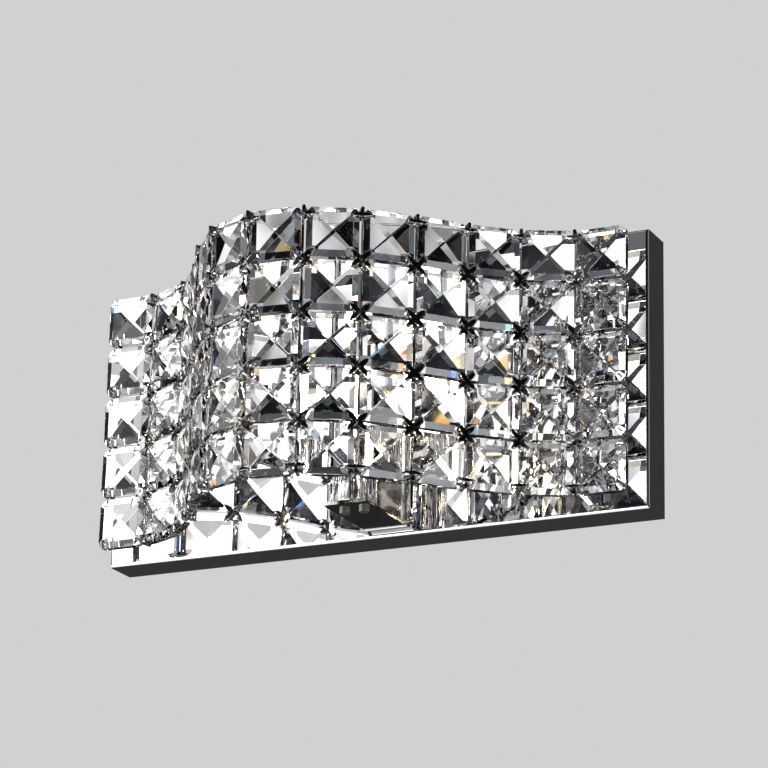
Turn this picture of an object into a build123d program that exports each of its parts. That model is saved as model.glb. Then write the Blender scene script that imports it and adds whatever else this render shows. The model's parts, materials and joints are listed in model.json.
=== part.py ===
from build123d import *
import os
from functools import partial
from math import atan, cos, degrees, pi, radians, sin, sqrt, tan

# A crystal wall sconce. A polished steel tray hangs on a wall bracket, and a curtain of
# square cut crystals, clipped corner to corner, swells out from the tray in one wave.
# A bent arm at the bottom of the tray carries a lamp cup with one upright pin lamp.
#
# Origin: centre of the tray's outline, on the wall plane. +X right, -Y out to the room, +Z up.
# Lengths are in millimetres and angles in degrees.

# Crystal curtain
columns = 13
rows = 5
pitch = 28.6                 # from one clip to the next
crystal_gap = 1.6            # between neighbouring crystals
corner_cut = 2.4             # leg of the cut corner where a clip's pin passes
girdle_half = 2.0            # half the thickness at a crystal's edge
bevel_width = 3.2
front_shoulder = 3.3
front_apex = 5.4
back_apex = 4.2

# The wave: the columns' headings follow two half sines along the curtain
wave_start = 0.75            # in columns from the left end
wave_crest = 6.2
wave_end = 12.6
left_heading = 57.5          # steepest heading out from the wall
right_heading = 47.6         # steepest heading back to the wall
curtain_standoff = 18.0      # from the tray's face to the first column

# Clips
clip_thickness = 0.8
clip_clearance = 0.05
lobe_reach = 6.0
lobe_half_width = 1.5        # at the pin
lobe_angle = 45.0
lobe_root = 4.5              # past the pin, before the plates are split on the fold
pin_width = 1.8
rim_pin_sink = 1.6           # from the last clip line's place down into the notch
rim_drop = 3.2               # from a rim clip's pin to its leaf-shaped plates
rim_reach = 5.4
rim_half_width = 1.2
rim_stem_width = 2.2

# Posts
post_radius = 2.5
post_stud_radius = 1.5
post_stud_clearance = 0.1
post_cap_radius = 2.4
post_cap_height = 2.6
post_cap_bore = 1.6          # depth of the stud's hole in the cap
post_stud_grip = 1.4         # how far the stud runs into the cap
post_cap_edge = 0.7
post_nut_flats = 5.5
post_nut_height = 2.4
post_stud_tail = 1.5         # past the nut

# Tray
tray_height = 150.0
tray_depth = 22.0
tray_wall = 1.2
tray_fold_radius = 1.5
end_margin = 3.6             # from the curtain's ends to the tray's sides

# Wall bracket
bracket_length = 170.0
bracket_height = 36.0
bracket_thickness = 2.0
bracket_flange = 5.0
wall_slot_spacing = 120.0
wall_slot_length = 14.0
wall_slot_width = 5.4
house_cable_radius = 9.0
stud_spacing = 152.0
stud_radius = 2.0
stud_clearance = 0.25
stud_rise = 6.0              # past the tray's face
nut_height = 3.2
nut_flats = 7.0
cap_nut_height = 7.0
cap_nut_flats_height = 3.5
cap_nut_edge = 1.7

# Lamp arm
arm_x = 12.0
arm_width = 24.0
arm_thickness = 1.6
arm_tab_height = 56.0
arm_lift = 3.0               # from the tray's lower edge to the arm's underside
lamp_reach = 42.0            # from the tray's face to the lamp's axis
arm_fold_radius = 2.4
arm_screw_rises = (30.0, 48.0)
screw_radius = 1.5
screw_clearance = 0.15
screw_head_radius = 2.8
screw_head_height = 1.8
screw_tail = 1.0             # past its nut

# Lamp cup and socket
cup_radius = 11.5
cup_height = 34.0
cup_wall = 0.9
cup_port_half = 2.8          # half the width and height of the leads' port
cup_port_rise = 3.6          # above the cup's floor
socket_radius = 9.0
socket_height = 33.0
socket_foot_radius = 2.5
socket_foot_height = 7.0
socket_screw_spacing = 11.0
socket_screw_length = 8.0
recess_length = 14.0
recess_width = 5.6
recess_depth = 8.0
pin_bore_radius = 1.3
pin_bore_depth = 9.0

# Bulb
bulb_radius = 6.8
bulb_wall = 0.8
bulb_glass_height = 38.0
bulb_tip_radius = 1.6
bulb_base_length = 12.6
bulb_base_width = 4.4
bulb_base_height = 11.0
bulb_base_edge = 0.7
bulb_seat_clearance = 0.2
bulb_pin_spacing = 9.0
bulb_pin_radius = 0.5
bulb_pin_drop = 6.5
filament_radius = 0.55
filament_rise = 17.0
filament_span = 7.0
filament_wire_radius = 0.25

# Terminal block
terminal_x = -30.0
terminal_length = 30.0
terminal_height = 17.0
terminal_depth = 12.0
terminal_poles = 3
terminal_screw_radius = 1.9
terminal_screw_height = 2.6
fixing_sink = 2.0            # of the fixing screw's head below the block's front

# Leads and their grommet
grommet_rise = 11.5          # from the tray's lower edge
grommet_bore = 2.6
grommet_wall = 1.0
grommet_flange = 1.0
grommet_flange_thickness = 1.2
lead_radius = 0.95
lead_gap = 2.6               # between the two lamp leads
lead_bend = 2.0              # leg of each eased corner
lead_insert = 3.0
lead_turn_rise = 15.6        # above the grommet, where the leads turn towards the block
lead_run_out = 10.4          # straight out of the grommet
lead_cup_run = 4.8           # straight into the cup

# Earth
earth_x = -78.0
earth_z = 34.0
earth_tag_radius = 4.2
earth_tag_thickness = 0.8
earth_tongue_length = 14.0
earth_stud_length = 8.0
earth_bend_start = 9.6       # from the block's pole, where the lead turns to the tray
earth_bend_end = 19.2
earth_lead_gap = 7.0         # from the stud to the lead's end

# Drawing
few_sides = 6                # hidden shanks and their holes
more_sides = 8               # heads, posts and the leads' holes
lead_sides = 6
bulb_sides = 12
cup_sides = 24
dome_steps = 3
cut_past = 1.0               # how far a cutter runs past a face


def column_heading(index):
    """Heading of one column in radians, positive when it leads away from the wall."""
    middle = index + 0.5
    if wave_start < middle < wave_crest:
        share = (middle - wave_start) / (wave_crest - wave_start)
        return radians(left_heading) * sin(pi * share)
    if wave_crest <= middle < wave_end:
        share = (middle - wave_crest) / (wave_end - wave_crest)
        return -radians(right_heading) * sin(pi * share)
    return 0.0


# Plan of the curtain: where each clip line stands
headings = [column_heading(index) for index in range(columns)]
line_x = [0.0]
line_out = [curtain_standoff]
for heading in headings:
    line_x.append(line_x[-1] + pitch * cos(heading))
    line_out.append(line_out[-1] + pitch * sin(heading))
curtain_span = line_x[-1]
line_x = [x - curtain_span / 2 for x in line_x]
line_y = [-tray_depth - out for out in line_out]

# Tray and curtain
tray_width = curtain_span + 2 * end_margin
half_height = tray_height / 2
face_y = -tray_depth
inner_y = face_y + tray_wall
rim_z = rows * pitch / 2
crystal_half = (pitch - crystal_gap) / 2
pyramid_slope = (front_apex - front_shoulder) / (crystal_half - bevel_width)
back_slope = (back_apex - girdle_half) / crystal_half
post_lines = (1, columns - 1)
post_rows = (1, rows - 1)
post_places = [(line, rim_z - row * pitch) for line in post_lines for row in post_rows]
stud_places = (-stud_spacing / 2, stud_spacing / 2)

# How far in from the crystals' edges the clips' plates reach, and so where they bear
lobe_lean = radians(lobe_angle)
lobe_depth = lobe_reach * cos(lobe_lean) - crystal_gap / 2
rim_share = (rim_pin_sink + rim_drop + rim_half_width) / (rim_reach + rim_half_width)
rim_depth = rim_reach * rim_share - crystal_gap / 2

# Lamp, from the arm upwards
arm_z = -half_height + arm_lift
arm_top = arm_z + arm_thickness
tab_y = face_y - arm_thickness
lamp_y = face_y - lamp_reach
cup_floor = arm_top + cup_wall
cup_port_z = cup_floor + cup_port_rise
socket_z = cup_floor + socket_foot_height
socket_top = socket_z + socket_height - socket_foot_height
recess_floor = socket_top - recess_depth
bulb_base_z = recess_floor + bulb_seat_clearance
glass_z = bulb_base_z + bulb_base_height
arm_screw_places = [arm_z + rise for rise in arm_screw_rises]
socket_screw_places = (arm_x - socket_screw_spacing / 2, arm_x + socket_screw_spacing / 2)
grommet_z = -half_height + grommet_rise
grommet_radius = grommet_bore + grommet_wall

# Terminal block and leads
terminal_front = -bracket_thickness - terminal_depth
terminal_middle = -bracket_thickness - terminal_depth / 2
pole_step = terminal_length / terminal_poles
first_pole_x = terminal_x - (terminal_poles - 1) / 2 * pole_step
pole_places = [first_pole_x + pole * pole_step for pole in range(terminal_poles)]
clamp_y = terminal_middle - lead_radius
clamp_z = -terminal_height / 4
fixing_x = terminal_x + pole_step / 2
fixing_y = terminal_front + fixing_sink
fixing_z = terminal_height / 4
earth_tag_front = inner_y + earth_tag_thickness
earth_lead_y = earth_tag_front + lead_radius

# Holes for threads and shanks
screw_hole = screw_radius + screw_clearance
post_hole = post_stud_radius + post_stud_clearance
stud_hole = stud_radius + stud_clearance
lead_hole = lead_radius + screw_clearance


def column_plane(heading, x, y):
    """Plane on the curtain: X along the column, Y up, Z out of the curtain's front."""
    along = (cos(heading), -sin(heading), 0)
    outward = (-sin(heading), -cos(heading), 0)
    return Plane(origin=(x, y, 0), x_dir=along, z_dir=outward)


def box_between(x0, x1, y0, y1, z0, z1):
    centre = ((x0 + x1) / 2, (y0 + y1) / 2, (z0 + z1) / 2)
    return Pos(*centre) * Box(abs(x1 - x0), abs(y1 - y0), abs(z1 - z0))


def rod(radius, start, end, sides=few_sides):
    """Round bar between two points, drawn with the sides given."""
    axis = Vector(*end) - Vector(*start)
    outline = RegularPolygon(radius, sides)
    return Plane(origin=start, z_dir=axis) * extrude(outline, axis.length)


def hexagon_bar(flats, start, end):
    return rod(flats / sqrt(3), start, end, 6)


def sheet_hole(radius, x, z, sides=few_sides):
    """Cutter along Y through the tray's face and the arm's tab."""
    return rod(radius, (x, cut_past, z), (x, tab_y - cut_past, z), sides)


def one(shape):
    """The single solid of a result."""
    solids = shape.solids()
    if len(solids) != 1:
        raise ValueError(f"expected one solid, found {len(solids)}")
    return solids[0]


def cut_facet(block, point, normal):
    """What lies behind a cutting plane."""
    cutter = Plane(origin=point, z_dir=normal)
    return one(split(block, bisect_by=cutter, keep=Keep.BOTTOM))


def crystal():
    """One square crystal: cut corners, a bevelled front that rises to a point, a pyramid back."""
    block = box_between(-crystal_half, crystal_half, -crystal_half, crystal_half, -back_apex, front_apex)
    corner_reach = (2 * crystal_half - corner_cut) / sqrt(2)
    bevel_rise = front_shoulder - girdle_half
    front_rise = front_apex - front_shoulder
    back_rise = back_apex - girdle_half
    for turn in range(4):
        corner = radians(45 + 90 * turn)
        side = radians(90 * turn)
        diagonal = (cos(corner), sin(corner), 0)
        corner_point = (corner_reach * diagonal[0], corner_reach * diagonal[1], 0)
        block = cut_facet(block, corner_point, diagonal)
        edge = (crystal_half * cos(side), crystal_half * sin(side), girdle_half)
        bevel = (bevel_rise * cos(side), bevel_rise * sin(side), bevel_width)
        block = cut_facet(block, edge, bevel)
        crown = (front_rise * cos(side), front_rise * sin(side), crystal_half - bevel_width)
        block = cut_facet(block, (0, 0, front_apex), crown)
        pavilion = (back_rise * cos(side), back_rise * sin(side), -crystal_half)
        block = cut_facet(block, (0, 0, -back_apex), pavilion)
    return block


def crystal_column(index, pattern):
    """Five crystals one above the other, in their column's plane."""
    middle_x = (line_x[index] + line_x[index + 1]) / 2
    middle_y = (line_y[index] + line_y[index + 1]) / 2
    plane = column_plane(headings[index], middle_x, middle_y)
    pieces = []
    for row in range(rows):
        height = rim_z - (row + 0.5) * pitch
        pieces.append(one(plane * Pos(0, height, 0) * pattern))
    return Compound(children=pieces)


def front_seat(depth):
    """Level of a plate on the crystals' fronts that reaches this far in."""
    return front_shoulder + pyramid_slope * max(0, depth - bevel_width) + clip_clearance


def back_seat(depth):
    return girdle_half + back_slope * depth + clip_clearance


def cross_plate(side):
    """Two pointed lobes of a clip between four crystals, on one side of its fold."""
    root = lobe_half_width * (lobe_reach + lobe_root) / lobe_reach
    outline = make_face(Polyline((-lobe_root, root), (-lobe_root, -root), (lobe_reach, 0), close=True))
    plate = None
    for angle in (lobe_angle, -lobe_angle):
        turn = angle if side > 0 else 180 - angle
        lobe = extrude(Rot(0, 0, turn) * outline, clip_thickness)
        plate = lobe if plate is None else plate + lobe
    return plate


def back_plate(side):
    """One wing of the bow tie behind the crystals."""
    tip = lobe_reach * cos(lobe_lean)
    root = pin_width / 2
    points = [(-lobe_root, root), (-lobe_root, -root), (tip, -tip), (tip, tip)]
    outline = make_face(Polyline(*points, close=True))
    return Rot(0, 0, 0 if side > 0 else 180) * extrude(outline, clip_thickness, dir=(0, 0, 1))


def rim_plate(side, way):
    """Stem and half leaf of a clip on the curtain's rim. way is +1 where the leaf is above the pin."""
    leaf = way * rim_drop
    half = way * rim_half_width
    stem = rim_stem_width / 2
    points = [(-lobe_root, -way * stem), (stem, -way * stem), (stem, leaf - half)]
    points += [(rim_reach, leaf), (0, leaf + half), (-lobe_root, leaf + half)]
    outline = make_face(Polyline(*[(side * x, y) for x, y in points], close=True))
    return extrude(outline, clip_thickness, dir=(0, 0, 1))


def rim_wing(side, way):
    """Half of a bow tie's wing, behind a clip on the curtain's rim."""
    leaf = way * rim_drop
    foot = -way * pin_width / 2
    half = way * rim_half_width
    points = [(-lobe_root, foot), (0, foot), (rim_reach, leaf), (0, leaf + half), (-lobe_root, leaf + half)]
    outline = make_face(Polyline(*[(side * x, y) for x, y in points], close=True))
    return extrude(outline, clip_thickness, dir=(0, 0, 1))


def clip(line, front_maker, back_maker, depth):
    """One clip at height 0: front plates, back plates and the pin between them."""
    left = headings[line - 1]
    right = headings[line]
    x = line_x[line]
    y = line_y[line]
    fold = column_plane((left + right) / 2, x, y)
    right_side = Plane(origin=fold.origin, z_dir=fold.x_dir)
    front = front_seat(depth)
    back = -back_seat(depth) - clip_thickness
    pin_foot = back + clip_thickness / 2
    pin_top = front / cos((left - right) / 2) + clip_thickness / 2
    pin = extrude(Rectangle(pin_width, pin_width), pin_top - pin_foot)
    body = fold * Pos(0, 0, pin_foot) * pin
    for side, heading in ((-1, left), (1, right)):
        plane = column_plane(heading, x, y)
        keep = Keep.TOP if side > 0 else Keep.BOTTOM
        for maker, level in ((front_maker, front), (back_maker, back)):
            plate = plane * Pos(0, 0, level) * maker(side)
            body += split(plate, bisect_by=right_side, keep=keep)
    return body


def clip_line(line):
    """All the clips on one upright line of the curtain."""
    plain = clip(line, cross_plate, back_plate, lobe_depth)
    through = (line_x[line], line_y[line] - curtain_standoff, 0)
    back = (line_x[line], line_y[line] + curtain_standoff, 0)
    pieces = []
    for row in range(1, rows):
        pattern = plain
        if line in post_lines and row in post_rows:
            pattern = plain - rod(post_hole, through, back)
        pieces += (Pos(0, 0, rim_z - row * pitch) * pattern).solids()
    for way in (-1, 1):
        rim_clip = clip(line, partial(rim_plate, way=way), partial(rim_wing, way=way), rim_depth)
        pieces += (Pos(0, 0, -way * (rim_z - rim_pin_sink)) * rim_clip).solids()
    return Compound(children=list(pieces))


def curtain_tilt(line):
    """The steeper of the two headings that meet on a clip line."""
    return max(abs(headings[line - 1]), abs(headings[line]))


def cap_gap(line):
    """From the curtain's middle to the back of a post's cap."""
    tilt = curtain_tilt(line)
    return (front_seat(lobe_depth) + clip_thickness) / cos(tilt) + post_cap_radius * tan(tilt)


def posts():
    """Round posts from the tray's face to the curtain, each with a stud through its clip."""
    pieces = []
    for line, z in post_places:
        x = line_x[line]
        tilt = curtain_tilt(line)
        behind = (back_seat(lobe_depth) + clip_thickness) / cos(tilt) + post_radius * tan(tilt)
        stud_back = inner_y + post_nut_height + post_stud_tail
        stud_front = line_y[line] - cap_gap(line) - post_stud_grip
        body = rod(post_radius, (x, face_y, z), (x, line_y[line] + behind, z), more_sides)
        body += rod(post_stud_radius, (x, stud_back, z), (x, stud_front, z))
        pieces.append(one(body))
    return Compound(children=pieces)


def post_caps():
    """Round domed caps that hold the curtain on its posts."""
    pieces = []
    for line, z in post_places:
        x = line_x[line]
        back = line_y[line] - cap_gap(line)
        cap = rod(post_cap_radius, (x, back, z), (x, back - post_cap_height, z), more_sides)
        cap = chamfer(cap.edges().group_by(Axis.Y)[0], post_cap_edge)
        cap -= rod(post_hole, (x, back, z), (x, back - post_cap_bore, z))
        pieces.append(one(cap))
    return Compound(children=pieces)


def nut(flats, height, bore, start):
    """A hexagon nut on its bore, from its seat towards the wall."""
    end = (start[0], start[1] + height, start[2])
    return one(hexagon_bar(flats, start, end) - rod(bore, start, end))


def post_nuts():
    seats = [(line_x[line], inner_y, z) for line, z in post_places]
    pieces = [nut(post_nut_flats, post_nut_height, post_hole, seat) for seat in seats]
    return Compound(children=pieces)


def back_tray():
    """The polished tray: one folded sheet, open to the wall."""
    half_width = tray_width / 2
    shell = box_between(-half_width, half_width, face_y, 0, -half_height, half_height)
    shell = fillet(shell.edges().group_by(Axis.Y)[0], tray_fold_radius)
    inner_x = half_width - tray_wall
    inner_z = half_height - tray_wall
    shell -= box_between(-inner_x, inner_x, inner_y, cut_past, -inner_z, inner_z)
    for line, z in post_places:
        shell -= sheet_hole(post_hole, line_x[line], z)
    for x in stud_places:
        shell -= sheet_hole(stud_hole, x, 0)
    for z in arm_screw_places:
        shell -= sheet_hole(screw_hole, arm_x, z)
    return one(shell - sheet_hole(grommet_radius, arm_x, grommet_z, more_sides))


def wall_bracket():
    """Steel strap with folded flanges, slots for the wall screws and a hole for the house cable."""
    half_length = bracket_length / 2
    half_tall = bracket_height / 2
    strap = box_between(-half_length, half_length, -bracket_thickness, 0, -half_tall, half_tall)
    for side in (-1, 1):
        edge = side * half_tall
        inner = side * (half_tall - bracket_thickness)
        strap += box_between(-half_length, half_length, -bracket_flange, 0, inner, edge)
    slot = SlotOverall(wall_slot_length, wall_slot_width)
    slot_cutter = Plane.XZ * extrude(slot, bracket_thickness + cut_past, both=True)
    for side in (-1, 1):
        strap -= Pos(side * wall_slot_spacing / 2, 0, 0) * slot_cutter
    front = -bracket_thickness - cut_past
    strap -= rod(house_cable_radius, (0, cut_past, 0), (0, front, 0), more_sides)
    return one(strap - rod(screw_hole, (fixing_x, cut_past, fixing_z), (fixing_x, front, fixing_z)))


def bracket_studs():
    """Two studs welded on the bracket that carry the tray."""
    end_y = face_y - stud_rise
    pieces = [one(rod(stud_radius, (x, -bracket_thickness, 0), (x, end_y, 0))) for x in stud_places]
    return Compound(children=pieces)


def tray_cap_nuts():
    """Domed nuts on the tray's face."""
    pieces = []
    for x in stud_places:
        flats_end = (x, face_y - cap_nut_flats_height, 0)
        dome = rod(nut_flats / 2, flats_end, (x, face_y - cap_nut_height, 0), more_sides)
        dome = chamfer(dome.edges().group_by(Axis.Y)[0], cap_nut_edge)
        cap = hexagon_bar(nut_flats, (x, face_y, 0), flats_end) + dome
        cap -= rod(stud_radius, (x, face_y, 0), (x, face_y - stud_rise - stud_clearance, 0))
        pieces.append(one(cap))
    return Compound(children=pieces)


def lamp_arm():
    """A bent strip: an upright tab on the tray's face and an arm out to the lamp."""
    left = arm_x - arm_width / 2
    right = arm_x + arm_width / 2
    end_y = lamp_y - arm_width / 2
    strip = box_between(left, right, tab_y, face_y, arm_z, arm_z + arm_tab_height)
    strip += box_between(left, right, end_y, face_y, arm_z, arm_top)
    across = strip.edges().filter_by(Axis.X)
    inner_fold = across.filter_by_position(Axis.Y, tab_y, tab_y).filter_by_position(Axis.Z, arm_z, arm_top)
    strip = fillet(inner_fold, arm_fold_radius)
    across = strip.edges().filter_by(Axis.X)
    outer_fold = across.filter_by_position(Axis.Y, face_y, face_y).filter_by_position(Axis.Z, arm_z, arm_z)
    strip = fillet(outer_fold, arm_fold_radius + arm_thickness)
    for z in arm_screw_places:
        strip -= sheet_hole(screw_hole, arm_x, z)
    for x in socket_screw_places:
        strip -= rod(screw_hole, (x, lamp_y, arm_z - cut_past), (x, lamp_y, arm_top + cut_past))
    return one(strip - sheet_hole(grommet_radius, arm_x, grommet_z, more_sides))


def pan_screw(start, way, length):
    """A pan head under the start point and a shank along the way given."""
    back = tuple(a - screw_head_height * b for a, b in zip(start, way))
    end = tuple(a + length * b for a, b in zip(start, way))
    head = rod(screw_head_radius, back, start, more_sides)
    return one(head + rod(screw_radius, start, end))


def arm_screws():
    length = arm_thickness + tray_wall + post_nut_height + screw_tail
    pieces = [pan_screw((arm_x, tab_y, z), (0, 1, 0), length) for z in arm_screw_places]
    return Compound(children=pieces)


def arm_nuts():
    seats = [(arm_x, inner_y, z) for z in arm_screw_places]
    pieces = [nut(post_nut_flats, post_nut_height, screw_radius, seat) for seat in seats]
    return Compound(children=pieces)


def lamp_cup():
    """Thin polished cup that stands on the arm round the lamp's socket."""
    cup_top = arm_top + cup_height
    floor = (arm_x, lamp_y, cup_floor)
    cup = rod(cup_radius, (arm_x, lamp_y, arm_top), (arm_x, lamp_y, cup_top), cup_sides)
    cup -= rod(cup_radius - cup_wall, floor, (arm_x, lamp_y, cup_top + cut_past), cup_sides)
    for x in socket_screw_places:
        cup -= rod(screw_hole, (x, lamp_y, arm_z), (x, lamp_y, cup_floor + cut_past))
    left = arm_x - cup_port_half
    right = arm_x + cup_port_half
    port = box_between(left, right, lamp_y, face_y, cup_port_z - cup_port_half, cup_port_z + cup_port_half)
    return one(cup - port)


def lamp_socket():
    """Ceramic two-pin socket on two feet, with a slot for the bulb's base and bores for its pins."""
    body = rod(socket_radius, (arm_x, lamp_y, socket_z), (arm_x, lamp_y, socket_top), bulb_sides)
    screw_end = arm_z + socket_screw_length + cut_past
    for x in socket_screw_places:
        body += rod(socket_foot_radius, (x, lamp_y, cup_floor), (x, lamp_y, socket_z + cut_past))
    for x in socket_screw_places:
        body -= rod(screw_radius, (x, lamp_y, cup_floor), (x, lamp_y, screw_end))
    half_long = recess_length / 2
    half_wide = recess_width / 2
    slot = box_between(-half_long, half_long, -half_wide, half_wide, recess_floor, socket_top + cut_past)
    body -= Pos(arm_x, lamp_y, 0) * slot
    for side in (-1, 1):
        pin_x = arm_x + side * bulb_pin_spacing / 2
        pin_end = (pin_x, lamp_y, recess_floor - pin_bore_depth)
        body -= rod(pin_bore_radius, pin_end, (pin_x, lamp_y, recess_floor), more_sides)
        lead_x = arm_x + side * lead_gap / 2
        lead_end = (lead_x, lamp_y, socket_z + lead_insert)
        body -= rod(lead_hole, (lead_x, lamp_y, socket_z), lead_end, more_sides)
    return one(body)


def socket_screws():
    pieces = [pan_screw((x, lamp_y, arm_z), (0, 0, 1), socket_screw_length) for x in socket_screw_places]
    return Compound(children=pieces)


def capsule(radius, foot, tip_radius):
    """Tube with a domed top and a short tip, the dome in few steps."""
    tube_top = bulb_glass_height - bulb_radius
    turns = [radians(90 * step / dome_steps) for step in range(dome_steps)]
    rings = [(tube_top + radius * sin(turn), radius * cos(turn)) for turn in turns]
    rings.append((tube_top + radius, tip_radius))
    tube = rod(radius, (0, 0, foot), (0, 0, tube_top), bulb_sides)
    for (low, wide), (high, narrow) in zip(rings, rings[1:]):
        lean = degrees(atan((wide - narrow) * cos(pi / bulb_sides) / (high - low)))
        tube += Pos(0, 0, low) * extrude(RegularPolygon(wide, bulb_sides), high - low, taper=lean)
    top = tube_top + radius
    return tube + rod(tip_radius, (0, 0, top), (0, 0, top + tip_radius), bulb_sides)


def bulb_glass():
    """Tubular capsule with a domed top that ends in a small seal tip."""
    glass = capsule(bulb_radius, 0, bulb_tip_radius)
    glass -= capsule(bulb_radius - bulb_wall, bulb_wall, bulb_tip_radius - bulb_wall)
    return one(Pos(arm_x, lamp_y, glass_z) * glass)


def bulb_base():
    half_long = bulb_base_length / 2
    half_wide = bulb_base_width / 2
    block = box_between(-half_long, half_long, -half_wide, half_wide, bulb_base_z, glass_z)
    block = chamfer(block.edges().filter_by(Axis.Z), bulb_base_edge)
    return one(Pos(arm_x, lamp_y, 0) * block)


def bulb_pins():
    """Two stiff wire loops below the bulb's base."""
    spread = pin_bore_radius - bulb_pin_radius - screw_clearance
    foot_z = bulb_base_z - bulb_pin_drop
    foot_top = foot_z + bulb_pin_radius
    pieces = []
    for side in (-1, 1):
        x = arm_x + side * bulb_pin_spacing / 2
        foot = box_between(-spread, spread, -bulb_pin_radius, bulb_pin_radius, foot_z, foot_top)
        loop = Pos(x, lamp_y, 0) * foot
        for leg_x in (x - spread, x + spread):
            loop += rod(bulb_pin_radius, (leg_x, lamp_y, bulb_base_z), (leg_x, lamp_y, foot_z))
        pieces.append(one(loop))
    return Compound(children=pieces)


def bulb_filament():
    """The bright coil across the capsule, on two support wires."""
    z = glass_z + filament_rise
    half = filament_span / 2
    coil = rod(filament_radius, (arm_x - half, lamp_y, z), (arm_x + half, lamp_y, z))
    for side in (-1, 1):
        x = arm_x + side * (half - filament_wire_radius)
        coil += rod(filament_wire_radius, (x, lamp_y, glass_z + bulb_wall), (x, lamp_y, z))
    return one(coil)


def terminal_block():
    """Block of three poles: lamp leads from below, the earth lead from above."""
    half_tall = terminal_height / 2
    left = terminal_x - terminal_length / 2
    right = terminal_x + terminal_length / 2
    block = box_between(left, right, terminal_front, -bracket_thickness, -half_tall, half_tall)
    for x in pole_places:
        bottom = (x, terminal_middle, -half_tall)
        block -= rod(lead_hole, bottom, (x, terminal_middle, half_tall), more_sides)
        block -= rod(terminal_screw_radius, (x, terminal_front, clamp_z), (x, clamp_y, clamp_z))
    front = (fixing_x, terminal_front, fixing_z)
    block -= rod(screw_hole, front, (fixing_x, 0, fixing_z))
    head_radius = screw_head_radius + screw_clearance
    return one(block - rod(head_radius, front, (fixing_x, fixing_y, fixing_z), more_sides))


def terminal_screws():
    radius = terminal_screw_radius - screw_clearance
    head_y = clamp_y - terminal_screw_height
    pieces = [one(rod(radius, (x, head_y, clamp_z), (x, clamp_y, clamp_z))) for x in pole_places]
    return Compound(children=pieces)


def terminal_fixing():
    """The screw that holds the block on the bracket."""
    return pan_screw((fixing_x, fixing_y, fixing_z), (0, 1, 0), -fixing_y)


def cable_grommet():
    """Rubber bush through the tray and the arm's tab."""
    back = (arm_x, inner_y + grommet_flange_thickness, grommet_z)
    front = (arm_x, tab_y - grommet_flange_thickness, grommet_z)
    flange_radius = grommet_radius + grommet_flange
    bush = rod(grommet_radius, back, front, more_sides)
    bush += rod(flange_radius, back, (arm_x, inner_y, grommet_z), more_sides)
    bush += rod(flange_radius, (arm_x, tab_y, grommet_z), front, more_sides)
    return one(bush - rod(grommet_bore, back, front, more_sides))


def lead_along(points):
    """A lead along corner points, each corner eased by one short straight."""
    corners = [Vector(*point) for point in points]
    places = [corners[0]]
    for before, corner, after in zip(corners, corners[1:], corners[2:]):
        places.append(corner + (before - corner).normalized() * lead_bend)
        places.append(corner + (after - corner).normalized() * lead_bend)
    route = Polyline(*places, corners[-1])
    section = Plane(origin=route @ 0, z_dir=route % 0) * RegularPolygon(lead_radius, lead_sides)
    return one(sweep(section, route, transition=Transition.RIGHT))


def lamp_lead(pole, side):
    """One lead from the terminal block through the grommet and into the socket's foot."""
    x = pole_places[pole]
    lane = arm_x + side * lead_gap / 2
    turn_z = grommet_z + lead_turn_rise + side * lead_gap
    points = [(x, terminal_middle, lead_insert - terminal_height / 2), (x, terminal_middle, turn_z)]
    points += [(lane, terminal_middle, turn_z), (lane, terminal_middle, grommet_z)]
    points += [(lane, face_y - lead_run_out, grommet_z)]
    points += [(lane, lamp_y + cup_radius + lead_cup_run, cup_port_z)]
    points += [(lane, lamp_y, cup_port_z), (lane, lamp_y, socket_z + lead_insert)]
    return lead_along(points)


def lamp_lead_live():
    return lamp_lead(2, 1)


def lamp_lead_neutral():
    return lamp_lead(1, -1)


def earth_lead():
    """Lead from the third pole to the tag on the tray's earth stud."""
    x = pole_places[0]
    points = [(x, terminal_middle, terminal_height / 2 - lead_insert), (x, terminal_middle, earth_z)]
    points += [(x - earth_bend_start, terminal_middle, earth_z)]
    points += [(x - earth_bend_end, earth_lead_y, earth_z)]
    points += [(earth_x + earth_lead_gap, earth_lead_y, earth_z)]
    return lead_along(points)


def earth_tag():
    """Ring tag under the earth nut, with the tongue that the lead is soldered to."""
    back = (earth_x, inner_y, earth_z)
    front = (earth_x, earth_tag_front, earth_z)
    low = earth_z - stud_radius
    high = earth_z + stud_radius
    tag = rod(earth_tag_radius, back, front)
    tag += box_between(earth_x, earth_x + earth_tongue_length, inner_y, earth_tag_front, low, high)
    return one(tag - rod(stud_radius, back, front))


def earth_stud():
    end = (earth_x, inner_y + earth_stud_length, earth_z)
    return one(rod(stud_radius, (earth_x, inner_y, earth_z), end))


def earth_nut():
    return nut(nut_flats, nut_height, stud_radius, (earth_x, earth_tag_front, earth_z))


def save(name, shape):
    export_step(shape, f"parts/{name}.step")


os.makedirs("parts", exist_ok=True)
crystal_pattern = crystal()
for column in range(columns):
    save(f"crystal_column_{column + 1:02d}", crystal_column(column, crystal_pattern))
for line in range(1, columns):
    save(f"clip_line_{line:02d}", clip_line(line))
for maker in (
    back_tray, wall_bracket, bracket_studs, tray_cap_nuts,
    posts, post_caps, post_nuts,
    lamp_arm, arm_screws, arm_nuts,
    lamp_cup, lamp_socket, socket_screws,
    bulb_glass, bulb_base, bulb_pins, bulb_filament,
    terminal_block, terminal_screws, terminal_fixing,
    cable_grommet, lamp_lead_live, lamp_lead_neutral,
    earth_tag, earth_stud, earth_nut, earth_lead,
):
    save(maker.__name__, maker())
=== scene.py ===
import bmesh
import bpy
import json
import math
import random
from mathutils import Matrix, Vector


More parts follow.
